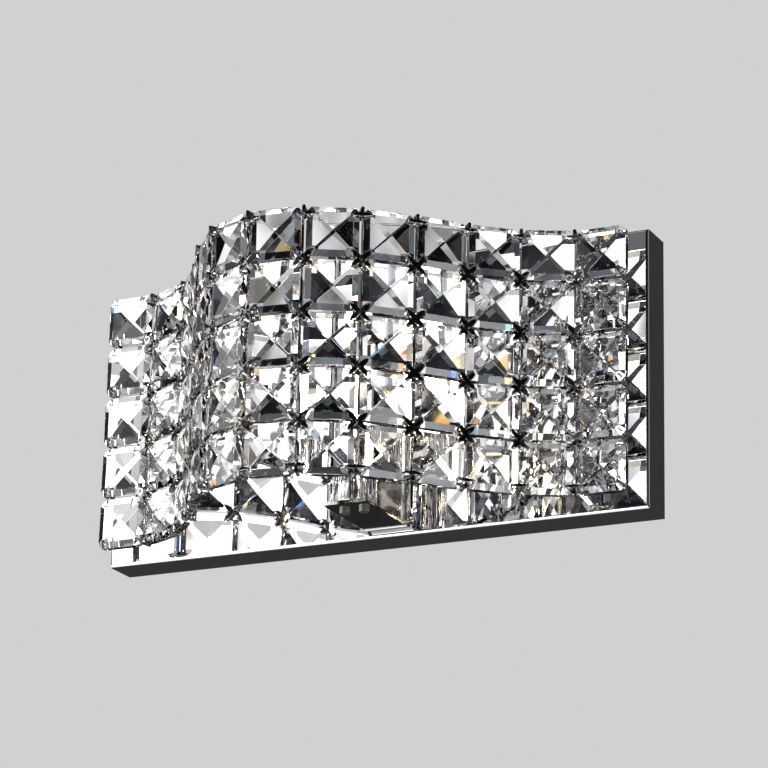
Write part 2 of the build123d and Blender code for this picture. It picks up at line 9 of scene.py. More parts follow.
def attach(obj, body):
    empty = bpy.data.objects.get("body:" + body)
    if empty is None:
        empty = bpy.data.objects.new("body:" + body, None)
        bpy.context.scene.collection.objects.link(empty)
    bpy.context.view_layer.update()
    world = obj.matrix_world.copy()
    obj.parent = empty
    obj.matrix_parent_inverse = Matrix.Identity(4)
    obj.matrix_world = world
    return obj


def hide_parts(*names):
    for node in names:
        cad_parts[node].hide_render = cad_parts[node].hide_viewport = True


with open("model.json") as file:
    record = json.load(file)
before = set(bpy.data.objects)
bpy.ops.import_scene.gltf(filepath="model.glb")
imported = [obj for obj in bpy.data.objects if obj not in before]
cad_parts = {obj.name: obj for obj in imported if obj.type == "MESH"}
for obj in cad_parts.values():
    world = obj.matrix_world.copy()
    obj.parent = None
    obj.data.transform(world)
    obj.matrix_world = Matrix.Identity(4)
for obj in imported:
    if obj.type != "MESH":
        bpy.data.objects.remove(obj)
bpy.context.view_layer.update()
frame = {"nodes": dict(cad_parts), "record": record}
nodes = frame["nodes"]
slotOf = {row["node"]: row["material_slot"] for row in frame["record"]["subparts"]}
mm = 0.001
mergeDistance = 1e-6  # points nearer than this, in metres, are one
rodSides = 10  # round a pin, a rivet or a drilled hole
print("frame loaded:", len(nodes), "CAD nodes")

# the wave that the crystals hang in, as in the part's source: start, crest and end are places
# counted in columns from the left, and the headings are the steepest turns in degrees

wave = {
    "columns": 13,
    "rows": 5,
    "pitch": 28.6 * mm,
    "start": 0.75,
    "crest": 6.2,
    "end": 12.6,
    "leftHeading": 57.5,
    "rightHeading": 47.6,
    "standoff": 18.0 * mm,
    "trayDepth": 22.0 * mm,
}


def columnHeading(index):
    # one bow out to the crest and one back, flat along the tray at both ends
    middle = index + 0.5
    if wave["start"] < middle < wave["crest"]:
        share = (middle - wave["start"]) / (wave["crest"] - wave["start"])
        return math.radians(wave["leftHeading"]) * math.sin(math.pi * share)
    if wave["crest"] <= middle < wave["end"]:
        share = (middle - wave["crest"]) / (wave["end"] - wave["crest"])
        return -math.radians(wave["rightHeading"]) * math.sin(math.pi * share)
    return 0.0


# the heading of each column, and where the upright lines between columns stand
headings = [columnHeading(index) for index in range(wave["columns"])]
lineX, lineY = [0.0], [-wave["trayDepth"] - wave["standoff"]]
for heading in headings:
    lineX.append(lineX[-1] + wave["pitch"] * math.cos(heading))
    lineY.append(lineY[-1] - wave["pitch"] * math.sin(heading))
halfSpan = lineX[-1] / 2
lineX = [x - halfSpan for x in lineX]
rimZ = wave["rows"] * wave["pitch"] / 2


def columnPlane(heading, x, y, z):
    # X along the column, Y up, Z out of the curtain's front
    along = Vector((math.cos(heading), -math.sin(heading), 0))
    outward = Vector((-math.sin(heading), -math.cos(heading), 0))
    turn = Matrix((along, Vector((0, 0, 1)), outward)).transposed().to_4x4()
    return Matrix.Translation((x, y, z)) @ turn


# makers of shapes

def finishPiece(name, bm, slotName, stoodFor, smooth=False, hollow=False):
    # a hollow piece keeps its normals, because its inner wall already faces inwards
    if not hollow:
        bmesh.ops.recalc_face_normals(bm, faces=bm.faces)
    mesh = bpy.data.meshes.new(name)
    bm.to_mesh(mesh)
    bm.free()
    for polygon in mesh.polygons:
        polygon.use_smooth = smooth
    piece = bpy.data.objects.new(name, mesh)
    bpy.context.scene.collection.objects.link(piece)
    piece.data.materials.append(materials[slotName])
    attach(piece, "root")
    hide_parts(*stoodFor)


def joinShell(bm, shell, place):
    bmesh.ops.transform(shell, matrix=place, verts=shell.verts)
    mesh = bpy.data.meshes.new("shell")
    shell.to_mesh(mesh)
    shell.free()
    bm.from_mesh(mesh)
    bpy.data.meshes.remove(mesh)


def softenEdges(bm, edges, offset, steps):
    bmesh.ops.bevel(
        bm, geom=edges, offset=offset, segments=steps, profile=0.5, affect="EDGES", material=-1)


def edgesAt(bm, z):
    return [edge for edge in bm.edges if all(abs(v.co.z - z) < mergeDistance for v in edge.verts)]


def addRod(bm, place, bottom, top, radius, roundShare=0.0):
    # a straight rod, its top edge rounded by a share of its radius or length
    rod = bmesh.new()
    bmesh.ops.create_cone(
        rod, cap_ends=True, segments=rodSides, radius1=radius, radius2=radius, depth=top - bottom)
    bmesh.ops.translate(rod, vec=(0, 0, (top + bottom) / 2), verts=rod.verts)
    if roundShare:
        softenEdges(rod, edgesAt(rod, top), min(radius, top - bottom) * roundShare, steps=3)
    joinShell(bm, rod, place)


def cutAway(mesh, cutters):
    # the mesh less the cutters
    cutterMesh = bpy.data.meshes.new("cutters")
    cutters.to_mesh(cutterMesh)
    cutters.free()
    blank = bpy.data.objects.new("blank", mesh)
    tool = bpy.data.objects.new("tool", cutterMesh)
    for item in (blank, tool):
        bpy.context.scene.collection.objects.link(item)
    away = blank.modifiers.new("away", "BOOLEAN")
    away.operation = "DIFFERENCE"
    away.object = tool
    bpy.context.view_layer.update()
    finished = blank.evaluated_get(bpy.context.evaluated_depsgraph_get())
    result = bpy.data.meshes.new_from_object(finished)
    for item in (blank, tool):
        bpy.data.objects.remove(item)
    return result


# makers of finishes

def newMaterial(name):
    material = bpy.data.materials.new(name)
    material.use_nodes = True
    tree = material.node_tree
    coords = tree.nodes.new("ShaderNodeTexCoord")
    return material, tree, tree.nodes["Principled BSDF"], coords.outputs["Object"]


def addNoise(tree, place, scale, detail, stretch=(1, 1, 1)):
    mapping = tree.nodes.new("ShaderNodeMapping")
    mapping.inputs["Scale"].default_value = stretch
    tree.links.new(place, mapping.inputs["Vector"])
    noise = tree.nodes.new("ShaderNodeTexNoise")
    noise.inputs["Scale"].default_value = scale
    noise.inputs["Detail"].default_value = detail
    tree.links.new(mapping.outputs["Vector"], noise.inputs["Vector"])
    return noise.outputs["Fac"]


def addRamp(tree, source, stops, interpolation="LINEAR"):
    ramp = tree.nodes.new("ShaderNodeValToRGB")
    ramp.color_ramp.interpolation = interpolation
    elements = ramp.color_ramp.elements
    while len(elements) < len(stops):
        elements.new(0.5)
    for element, (place, colour) in zip(elements, stops):
        element.position = place
        element.color = (*colour, 1)
    tree.links.new(source, ramp.inputs["Fac"])
    return ramp.outputs["Color"]


def addMottle(tree, place, socket, scale, detail, stops):
    # a socket's value drifts between the stops in cloudy patches
    noise = addNoise(tree, place, scale, detail)
    tree.links.new(addRamp(tree, noise, stops), socket)
    return noise


def addRange(tree, source, low, high):
    spread = tree.nodes.new("ShaderNodeMapRange")
    spread.inputs["To Min"].default_value = low
    spread.inputs["To Max"].default_value = high
    tree.links.new(source, spread.inputs["Value"])
    return spread.outputs["Result"]


def addBump(tree, shader, height, strength, distance):
    bump = tree.nodes.new("ShaderNodeBump")
    bump.inputs["Strength"].default_value = strength
    bump.inputs["Distance"].default_value = distance
    tree.links.new(height, bump.inputs["Height"])
    tree.links.new(bump.outputs["Normal"], shader.inputs["Normal"])


# cut crystal: nearly clean, with a trace of tint, thin smudges and a slight waviness

crystalFinish = {
    "tint": [(0.35, (0.965, 0.98, 1.0)), (0.7, (1.0, 0.985, 0.96))],
    "tintScale": 24.0,
    "ior": 1.62,
    "smudges": [(0.6, (0.0, 0.0, 0.0)), (0.85, (0.05, 0.05, 0.05))],
    "smudgeScale": 90.0,
    "rippleScale": 60.0,
    "rippleStrength": 0.06,
    "rippleDepth": 0.2 * mm,
}


def crystalMaterial():
    material, tree, shader, place = newMaterial("cutCrystal")
    addMottle(tree, place, shader.inputs["Base Color"],
              crystalFinish["tintScale"], detail=2.0, stops=crystalFinish["tint"])
    shader.inputs["Transmission Weight"].default_value = 1.0
    shader.inputs["IOR"].default_value = crystalFinish["ior"]
    addMottle(tree, place, shader.inputs["Roughness"],
              crystalFinish["smudgeScale"], detail=3.0, stops=crystalFinish["smudges"])
    ripple = addNoise(tree, place, crystalFinish["rippleScale"], detail=1.0)
    addBump(tree, shader, ripple, crystalFinish["rippleStrength"], crystalFinish["rippleDepth"])
    return material


# metals: clouded colour, and a grain that is drawn out by stretch, or small dents in its place

metalPattern = {
    "cloudScale": 38.0,
    "cloudFrom": 0.3,
    "cloudTo": 0.62,
    "grainDepth": 0.05 * mm,
    "dentScale": 320.0,
}
metalFinishes = {
    "clip_chrome": {
        "name": "clipChrome",
        "colour": (0.3, 0.295, 0.29),
        "darker": (0.17, 0.165, 0.16),
        "rough": (0.03, 0.14),
        "dentDepth": 0.35 * mm,
    },
    "tray_mirror": {
        "name": "trayMirror",
        "colour": (0.86, 0.86, 0.87),
        "darker": (0.8, 0.8, 0.82),
        "rough": (0.005, 0.035),
        "grainScale": 150.0,
        "grainStrength": 0.01,
    },
    "arm_chrome": {
        "name": "armBlackChrome",
        "colour": (0.4, 0.39, 0.38),
        "darker": (0.26, 0.25, 0.24),
        "rough": (0.02, 0.09),
        "stretch": (8, 1, 1),
    },
    "chrome": {
        "name": "polishedChrome",
        "colour": (0.78, 0.78, 0.79),
        "darker": (0.66, 0.66, 0.68),
        "rough": (0.02, 0.1),
    },
    "zinc_steel": {
        "name": "zincPlatedSteel",
        "colour": (0.62, 0.63, 0.61),
        "darker": (0.47, 0.48, 0.47),
        "rough": (0.22, 0.42),
        "stretch": (5, 1, 1),
    },
    "brass": {
        "name": "plainBrass",
        "colour": (0.78, 0.6, 0.3),
        "darker": (0.6, 0.43, 0.2),
        "rough": (0.18, 0.34),
    },
    "pin_wire": {
        "name": "nickelWire",
        "colour": (0.6, 0.58, 0.54),
        "darker": (0.45, 0.43, 0.4),
        "rough": (0.2, 0.35),
    },
}


def metalMaterial(name, colour, darker, rough, stretch=(1, 1, 1), grainScale=220.0,
                  grainStrength=0.03, dentDepth=0.0):
    material, tree, shader, place = newMaterial(name)
    shader.inputs["Metallic"].default_value = 1.0
    clouds = [(metalPattern["cloudFrom"], darker), (metalPattern["cloudTo"], colour)]
    addMottle(tree, place, shader.inputs["Base Color"],
              metalPattern["cloudScale"], detail=3.0, stops=clouds)
    grain = addNoise(tree, place, grainScale, detail=6.0, stretch=stretch)
    tree.links.new(addRange(tree, grain, *rough), shader.inputs["Roughness"])
    if dentDepth:
        dents = addNoise(tree, place, metalPattern["dentScale"], detail=0.0)
        addBump(tree, shader, dents, strength=1.0, distance=dentDepth)
    else:
        addBump(tree, shader, grain, grainStrength, metalPattern["grainDepth"])
    return material


# ceramics, plastics and rubber: speckled, with a grain finer than the specks

dullPattern = {
    "speckFrom": 0.32,
    "speckTo": 0.55,
    "grainShare": 3,
    "grainDepth": 0.1 * mm,
    "roughSpread": 0.25,
}
dullFinishes = {
    "socket_ceramic": {
        "name": "glazedSteatite",
        "colour": (0.86, 0.83, 0.76),
        "darker": (0.74, 0.7, 0.62),
        "rough": 0.28,
        "speckScale": 260.0,
        "bump": 0.08,
        "coat": 0.4,
    },
    "bulb_ceramic": {
        "name": "mattCeramic",
        "colour": (0.84, 0.83, 0.8),
        "darker": (0.72, 0.7, 0.66),
        "rough": 0.62,
        "speckScale": 420.0,
        "bump": 0.12,
    },
    "terminal_plastic": {
        "name": "mouldedNylon",
        "colour": (0.85, 0.84, 0.79),
        "darker": (0.78, 0.76, 0.7),
        "rough": 0.45,
        "speckScale": 300.0,
        "bump": 0.06,
    },
    "grommet_rubber": {
        "name": "softRubber",
        "colour": (0.045, 0.045, 0.045),
        "darker": (0.025, 0.025, 0.025),
        "rough": 0.7,
        "speckScale": 500.0,
        "bump": 0.15,
    },
    "lead_brown": {
        "name": "brownSleeve",
        "colour": (0.2, 0.09, 0.045),
        "darker": (0.14, 0.06, 0.03),
    },
    "lead_blue": {
        "name": "blueSleeve",
        "colour": (0.05, 0.15, 0.45),
        "darker": (0.035, 0.1, 0.34),
    },
    "lead_green": {
        "name": "greenSleeve",
        "colour": (0.25, 0.45, 0.07),
        "darker": (0.18, 0.34, 0.05),
    },
}


def dullMaterial(name, colour, darker, rough=0.5, speckScale=340.0, bump=0.08, coat=0.0):
    material, tree, shader, place = newMaterial(name)
    specks = [(dullPattern["speckFrom"], darker), (dullPattern["speckTo"], colour)]
    addMottle(tree, place, shader.inputs["Base Color"], speckScale, detail=8.0, stops=specks)
    grain = addNoise(tree, place, speckScale * dullPattern["grainShare"], detail=4.0)
    smoothest = rough * (1 - dullPattern["roughSpread"])
    roughest = rough * (1 + dullPattern["roughSpread"])
    tree.links.new(addRange(tree, grain, smoothest, roughest), shader.inputs["Roughness"])
    shader.inputs["Coat Weight"].default_value = coat
    addBump(tree, shader, grain, bump, dullPattern["grainDepth"])
    return material


# the lit bulb: glass that glows warm round a bright filament

glassFinish = {
    "tint": [(0.3, (1.0, 0.97, 0.9)), (0.7, (1.0, 0.99, 0.97))],
    "filmScale": 120.0,
    "rough": (0.0, 0.04),
    "ior": 1.46,
    "glowColour": (1.0, 0.78, 0.5, 1),
    "glowStrength": 12.0,
}
filamentFinish = {
    "colour": (0.6, 0.55, 0.5, 1),
    "glow": [(0.3, (1.0, 0.62, 0.3)), (0.6, (1.0, 0.84, 0.62))],
    "glowStrength": 40.0,
    "turnScale": 900.0,
    "turnStretch": (6, 1, 1),
}


def bulbGlassMaterial():
    material, tree, shader, place = newMaterial("quartzGlass")
    film = addMottle(tree, place, shader.inputs["Base Color"],
                     glassFinish["filmScale"], detail=2.0, stops=glassFinish["tint"])
    tree.links.new(addRange(tree, film, *glassFinish["rough"]), shader.inputs["Roughness"])
    shader.inputs["Transmission Weight"].default_value = 1.0
    shader.inputs["IOR"].default_value = glassFinish["ior"]
    shader.inputs["Emission Color"].default_value = glassFinish["glowColour"]
    shader.inputs["Emission Strength"].default_value = glassFinish["glowStrength"]
    return material


def filamentMaterial():
    material, tree, shader, place = newMaterial("glowingTungsten")
    turns = addNoise(tree, place, filamentFinish["turnScale"], detail=1.0,
                     stretch=filamentFinish["turnStretch"])
    glow = addRamp(tree, turns, filamentFinish["glow"])
    tree.links.new(glow, shader.inputs["Emission Color"])
    shader.inputs["Emission Strength"].default_value = filamentFinish["glowStrength"]
    shader.inputs["Base Color"].default_value = filamentFinish["colour"]
    return material


materials = {
    "crystal": crystalMaterial(),
    "bulb_glass": bulbGlassMaterial(),
    "filament": filamentMaterial(),
}
for slotName, finish in metalFinishes.items():
    materials[slotName] = metalMaterial(**finish)
for slotName, finish in dullFinishes.items():
    materials[slotName] = dullMaterial(**finish)
for nodeName, node in nodes.items():
    for slot in node.material_slots:
        slot.material = materials[slotOf[nodeName]]
print("finishes on every CAD node")

# crystals: cut as the part is, each hanging a little loose in its clips, by up to tilt degrees

cut = {
    "half": 13.5 * mm,
    "cornerCut": 2.4 * mm,
    "girdle": 2.0 * mm,
    "bevel": 3.2 * mm,
    "shoulder": 3.3 * mm,
    "frontApex": 5.4 * mm,
    "backApex": 4.2 * mm,
    "frontCornerStart": 12.6 * mm,
    "frontCornerSlope": 0.36,
    "backCornerStart": 9.6 * mm,
    "backCornerSlope": 0.22,
    "edgeSoftness": 0.07 * mm,
    "holeRadius": 0.62 * mm,
    "holeInset": 3.4 * mm,
    "holeLength": 20.0 * mm,
    "onPlane": 1e-7,  # metres within which a point lies on a cut
    "tilt": 1.8,
    "seed": 7,
}


def cutFacet(bm, point, normal):
    # the part outside a plane is cut off and the cut is closed with one face
    geometry = bm.verts[:] + bm.edges[:] + bm.faces[:]
    result = bmesh.ops.bisect_plane(
        bm, geom=geometry, dist=cut["onPlane"], plane_co=point,
        plane_no=Vector(normal).normalized(), clear_outer=True)
    edges = [item for item in result["geom_cut"] if isinstance(item, bmesh.types.BMEdge)]
    if len(edges) > 2:
        bmesh.ops.contextual_create(bm, geom=edges)


def wayAround(degrees):
    return Vector((math.cos(math.radians(degrees)), math.sin(math.radians(degrees)), 0))


def cutCrystal():
    # a block cut facet by facet, its edges just softened, a hole drilled near each corner
    half, front, back = cut["half"], cut["frontApex"], cut["backApex"]
    up = Vector((0, 0, 1))
    stone = bmesh.new()
    bmesh.ops.create_cube(stone, size=2 * half)
    bmesh.ops.scale(stone, vec=(1, 1, (front + back) / (2 * half)), verts=stone.verts)
    bmesh.ops.translate(stone, vec=(0, 0, (front - back) / 2), verts=stone.verts)
    cornerReach = (2 * half - cut["cornerCut"]) / math.sqrt(2)
    frontRise, frontRun = front - cut["shoulder"], half - cut["bevel"]
    backRise, backRun = back - cut["girdle"], half
    cornerFacets = (
        (1, front, frontRise / frontRun, cut["frontCornerStart"], cut["frontCornerSlope"]),
        (-1, back, backRise / backRun, cut["backCornerStart"], cut["backCornerSlope"]),
    )
    for quarter in range(4):
        side, diagonal = wayAround(90 * quarter), wayAround(90 * quarter + 45)
        cutFacet(stone, diagonal * cornerReach, diagonal)
        girdleEdge = side * half + up * cut["girdle"]
        cutFacet(stone, girdleEdge, side * (cut["shoulder"] - cut["girdle"]) + up * cut["bevel"])
        cutFacet(stone, up * front, side * frontRise + up * frontRun)
        cutFacet(stone, up * -back, side * backRise - up * backRun)
        for facing, apex, fall, start, slope in cornerFacets:
            height = apex - fall * start / math.sqrt(2)
            point = diagonal * start + up * (facing * height)
            cutFacet(stone, point, diagonal * slope + up * facing)
    bmesh.ops.remove_doubles(stone, verts=stone.verts, dist=mergeDistance)
    softenEdges(stone, stone.edges[:], cut["edgeSoftness"], steps=1)
    bmesh.ops.recalc_face_normals(stone, faces=stone.faces)
    mesh = bpy.data.meshes.new("stone")
    stone.to_mesh(mesh)
    stone.free()
    drill = bmesh.new()
    holeReach, halfLength = math.sqrt(2) * (half - cut["holeInset"]), cut["holeLength"] / 2
    for quarter in range(4):
        hole = Matrix.Translation(wayAround(90 * quarter + 45) * holeReach)
        addRod(drill, hole, -halfLength, halfLength, cut["holeRadius"])
    return cutAway(mesh, drill)


def addCrystal(bm, stone, place):
    copy = stone.copy()
    copy.transform(place)
    bm.from_mesh(copy)
    bpy.data.meshes.remove(copy)


stone = cutCrystal()
print("one crystal has", len(stone.polygons), "faces")
chance = random.Random(cut["seed"])
for column in range(wave["columns"]):
    bm = bmesh.new()
    middleX = (lineX[column] + lineX[column + 1]) / 2
    middleY = (lineY[column] + lineY[column + 1]) / 2
    for row in range(wave["rows"]):
        z = rimZ - (row + 0.5) * wave["pitch"]
        loose = Matrix.Identity(4)
        for axis in ("X", "Y"):
            tilt = math.radians(chance.uniform(-1, 1) * cut["tilt"])
            loose = loose @ Matrix.Rotation(tilt, 4, axis)
        addCrystal(bm, stone, columnPlane(headings[column], middleX, middleY, z) @ loose)
    number = f"{column + 1:02d}"
    finishPiece(f"cutCrystals{number}", bm, "crystal", (f"crystal_column_{number}",))
print("crystals cut:", wave["columns"] * wave["rows"])

# clips: crosses of four petals where four crystals meet, and leaves along the curtain's rims,
# each with plates before and behind the crystals, bent on the line between two columns

clipSizes = {
    "thickness": 0.8 * mm,
    "plateSides": 16,
    "reach": 6.0 * mm,
    "halfWidth": 1.42 * mm,
    "root": 0.9 * mm,
    "frontSeat": 3.4 * mm,
    "backSeat": 2.61 * mm,
    "prongPinRadius": 0.42 * mm,
    "rimReach": 5.3 * mm,
    "rimHalfWidth": 1.2 * mm,
    "rimTaper": 0.45,
    "rimOverlap": 0.1,
    "rimSink": 1.6 * mm,
    "rimDrop": 3.2 * mm,
    "rimFrontSeat": 3.54 * mm,
    "rimBackSeat": 2.72 * mm,
    "stemHalfWidth": 0.95 * mm,
    "stemSink": 0.12 * mm,
    "rivetRadius": 1.25 * mm,
    "rivetDepth": 0.6 * mm,
    "rivetRise": -0.02 * mm,
    "rivetRound": 0.7,
    "pinRadius": 0.95 * mm,
    "pinSink": 0.1 * mm,
    "edgeSoftness": 0.22 * mm,
}


def addPlate(bm, place, length, halfWidth, outward, root=0.0, pointed=False):
    # a thin plate from the pin outwards, a petal or half a pointed leaf, softened where it shows
    plate = bmesh.new()
    made = bmesh.ops.create_circle(
        plate, cap_ends=True, segments=clipSizes["plateSides"], radius=1.0)
    for vert in made["verts"]:
        if pointed:
            vert.co.y *= halfWidth * (1 - clipSizes["rimTaper"] * abs(vert.co.x))
            vert.co.x = max(vert.co.x, -clipSizes["rimOverlap"]) * length
        else:
            vert.co.y *= halfWidth
            vert.co.x = (length - root) / 2 + vert.co.x * (length + root) / 2
    slab = bmesh.ops.extrude_face_region(plate, geom=plate.faces[:])
    lifted = [item for item in slab["geom"] if isinstance(item, bmesh.types.BMVert)]
    bmesh.ops.translate(plate, vec=(0, 0, clipSizes["thickness"]), verts=lifted)
    shownZ = clipSizes["thickness"] if outward else 0.0
    softenEdges(plate, edgesAt(plate, shownZ), clipSizes["edgeSoftness"], steps=2)
    joinShell(bm, plate, place)


def addCrossClip(bm, sides, centre, fold):
    # petals over the crystals' corners, pinned through the drilled holes, and a rivet in the middle
    front, back = clipSizes["frontSeat"], -clipSizes["backSeat"]
    backPlate = back - clipSizes["thickness"]
    holeReach = math.sqrt(2) * (cut["holeInset"] + wave["pitch"] / 2 - cut["half"])
    for side, place in sides:
        for outward, level in ((True, front), (False, backPlate)):
            for angle in (45, -45):
                turn = Matrix.Rotation(math.radians(angle if side > 0 else 180 - angle), 4, "Z")
                petal = place @ Matrix.Translation((0, 0, level)) @ turn
                addPlate(bm, petal, clipSizes["reach"], clipSizes["halfWidth"], outward,
                         clipSizes["root"])
                if outward:
                    pin = place @ turn @ Matrix.Translation((holeReach, 0, 0))
                    addRod(bm, pin, back, front, clipSizes["prongPinRadius"])
    top = front / math.cos(fold) + clipSizes["thickness"]
    addRod(bm, centre, backPlate, top - clipSizes["pinSink"], clipSizes["pinRadius"])
    addRod(bm, centre, top - clipSizes["rivetDepth"], top + clipSizes["rivetRise"],
           clipSizes["rivetRadius"], clipSizes["rivetRound"])


def addRimClip(bm, sides, centre, fold, rim):
    # two half leaves before the crystals and two behind, with stems back to the pin
    front, backPlate = clipSizes["rimFrontSeat"], -clipSizes["rimBackSeat"] - clipSizes["thickness"]
    for side, place in sides:
        turn = Matrix.Rotation(0 if side > 0 else math.pi, 4, "Z")
        for outward, level in ((True, front), (False, backPlate)):
            leaf = place @ Matrix.Translation((0, -rim * clipSizes["rimDrop"], level)) @ turn
            addPlate(bm, leaf, clipSizes["rimReach"], clipSizes["rimHalfWidth"], outward,
                     pointed=True)
    top = front / math.cos(fold) + clipSizes["thickness"]
    addRod(bm, centre, backPlate, top - clipSizes["pinSink"], clipSizes["pinRadius"])
    turn = Matrix.Rotation(-rim * math.pi / 2, 4, "Z")
    stemLevel = top - clipSizes["thickness"] - clipSizes["stemSink"]
    for outward, level in ((True, stemLevel), (False, backPlate)):
        stem = centre @ Matrix.Translation((0, 0, level)) @ turn
        addPlate(bm, stem, clipSizes["rimDrop"], clipSizes["stemHalfWidth"], outward,
                 clipSizes["root"])


for line in range(1, wave["columns"]):
    bm = bmesh.new()
    left, right = headings[line - 1], headings[line]
    fold = (left - right) / 2
    for row in range(wave["rows"] + 1):
        # rim is 1 along the curtain's top, -1 along its foot and 0 between them
        rim = 1 if row == 0 else -1 if row == wave["rows"] else 0
        x, y = lineX[line], lineY[line]
        z = rimZ - row * wave["pitch"] - rim * clipSizes["rimSink"]
        sides = ((-1, columnPlane(left, x, y, z)), (1, columnPlane(right, x, y, z)))
        centre = columnPlane((left + right) / 2, x, y, z)
        if rim:
            addRimClip(bm, sides, centre, fold, rim)
        else:
            addCrossClip(bm, sides, centre, fold)
    number = f"{line:02d}"
    finishPiece(f"clips{number}", bm, "clip_chrome", (f"clip_line_{number}",))
print("clips made:", (wave["columns"] - 1) * (wave["rows"] + 1))


# turned pieces

def arc(radius, centreX, centreZ, start, end, steps=6):
    turns = [math.radians(start + (end - start) * step / steps) for step in range(steps + 1)]
    return [
        (centreX + radius * math.cos(turn), centreZ + radius * math.sin(turn)) for turn in turns]


def addLathe(bm, place, profile, sides, inward=False):
    shell = bmesh.new()
    verts = [shell.verts.new((radius, 0, height)) for radius, height in profile]
    edges = [shell.edges.new(pair) for pair in zip(verts, verts[1:])]
    bmesh.ops.spin(
        shell, geom=verts + edges, cent=(0, 0, 0), axis=(0, 0, 1), steps=sides,
        angle=2 * math.pi, use_merge=True)
    bmesh.ops.remove_doubles(shell, verts=shell.verts, dist=mergeDistance)
    bmesh.ops.recalc_face_normals(shell, faces=shell.faces)
    if inward:
        bmesh.ops.reverse_faces(shell, faces=shell.faces)
    joinShell(bm, shell, place)


# caps on the four posts: lines and rows are the clips on which the posts stand

capSizes = {
    "radius": 2.4 * mm,
    "height": 2.6 * mm,
    "roundness": 0.8 * mm,
    "edgeRound": 0.2 * mm,
    "recessRadius": 1.05 * mm,
    "recessDepth": 1.3 * mm,
    "drillShare": 0.5,
    "drillDepthShare": 1.2,
    "sides": 32,
    "lines": (1, 12),
    "rows": (1, 4),
}
bm = bmesh.new()
radius, height, roundness = capSizes["radius"], capSizes["height"], capSizes["roundness"]
soft, recess, depth = capSizes["edgeRound"], capSizes["recessRadius"], capSizes["recessDepth"]
drillZ = height - depth * capSizes["drillDepthShare"]
capProfile = [(0, 0)] + arc(soft, radius - soft, soft, -90, 0, steps=2)
capProfile += arc(roundness, radius - roundness, height - roundness, 0, 90)
capProfile += arc(soft, recess + soft, height - soft, 90, 180, steps=2)
capProfile += [(recess, height - depth), (recess * capSizes["drillShare"], drillZ), (0, drillZ)]
for line in capSizes["lines"]:
    tilt = max(abs(headings[line - 1]), abs(headings[line]))
    plateTop = clipSizes["frontSeat"] + clipSizes["thickness"]
    seat = plateTop / math.cos(tilt) + radius * math.tan(tilt)
    for row in capSizes["rows"]:
        place = columnPlane(0.0, lineX[line], lineY[line] - seat, rimZ - row * wave["pitch"])
        addLathe(bm, place, capProfile, capSizes["sides"])
finishPiece("postCaps", bm, "chrome", ("post_caps",), smooth=True)

# the lamp's cup, with holes for the socket's screws and a port for the leads

lampAxis = {"x": 12 * mm, "y": -64 * mm}
cupSizes = {
    "foot": -70.4 * mm,
    "radius": 11.5 * mm,
    "height": 34 * mm,
    "wall": 0.9 * mm,
    "footRound": 1.3 * mm,
    "portHalf": 2.8 * mm,
    "portRise": 4.5 * mm,
    "screwHole": 1.65 * mm,
    "screwSpacing": 11 * mm,
    "sides": 72,
}
bm = bmesh.new()
radius, height, wall = cupSizes["radius"], cupSizes["height"], cupSizes["wall"]
footRound = cupSizes["footRound"]
cupProfile = [(0, 0)] + arc(footRound, radius - footRound, footRound, -90, 0)
cupProfile += arc(wall / 2, radius - wall / 2, height - wall / 2, 0, 180)
cupProfile += arc(footRound - wall, radius - footRound, footRound, 0, -90) + [(0, wall)]
cupPlace = Matrix.Translation((lampAxis["x"], lampAxis["y"], cupSizes["foot"]))
addLathe(bm, cupPlace, cupProfile, cupSizes["sides"])
cupMesh = bpy.data.meshes.new("cup")
bm.to_mesh(cupMesh)
bm.free()
cutters = bmesh.new()
for side in (-1, 1):
    hole = cupPlace @ Matrix.Translation((side * cupSizes["screwSpacing"] / 2, 0, 0))
    addRod(cutters, hole, -2 * wall, 3 * wall, cupSizes["screwHole"])
portWidth = 2 * cupSizes["portHalf"]
port = cupPlace @ Matrix.Translation((0, radius, cupSizes["portRise"]))
port = port @ Matrix.Diagonal((portWidth, radius, portWidth, 1))
bmesh.ops.create_cube(cutters, size=1, matrix=port)
bm = bmesh.new()
bm.from_mesh(cutAway(cupMesh, cutters))
finishPiece("lampCup", bm, "chrome", ("lamp_cup",), smooth=True)

# the bulb's glass: an outer and an inner wall, the outer drawn to a small tip

glassSizes = {
    "foot": -33.3 * mm,
    "radius": 6.8 * mm,
    "wall": 0.8 * mm,
    "height": 38 * mm,
    "tipRadius": 1.6 * mm,
    "tipStart": 74,
    "domeSteps": 10,
    "sides": 40,
}
bm = bmesh.new()
place = Matrix.Translation((lampAxis["x"], lampAxis["y"], glassSizes["foot"]))
radius, wall, steps = glassSizes["radius"], glassSizes["wall"], glassSizes["domeSteps"]
shoulder = glassSizes["height"] - radius
outerProfile = [(0, 0), (radius, 0)]
outerProfile += arc(radius, 0, shoulder, 0, glassSizes["tipStart"], steps)
outerProfile += arc(glassSizes["tipRadius"], 0, shoulder + radius, 0, 90)
innerProfile = [(0, wall), (radius - wall, wall)]
innerProfile += arc(radius - wall, 0, shoulder, 0, 90, steps)
addLathe(bm, place, outerProfile, glassSizes["sides"])
addLathe(bm, place, innerProfile, glassSizes["sides"], inward=True)
finishPiece("bulbGlass", bm, "bulb_glass", ("bulb_glass",), smooth=True, hollow=True)
print("turned pieces made")

# camera, from the fit of the CAD's own points to the photograph: its angles are degrees

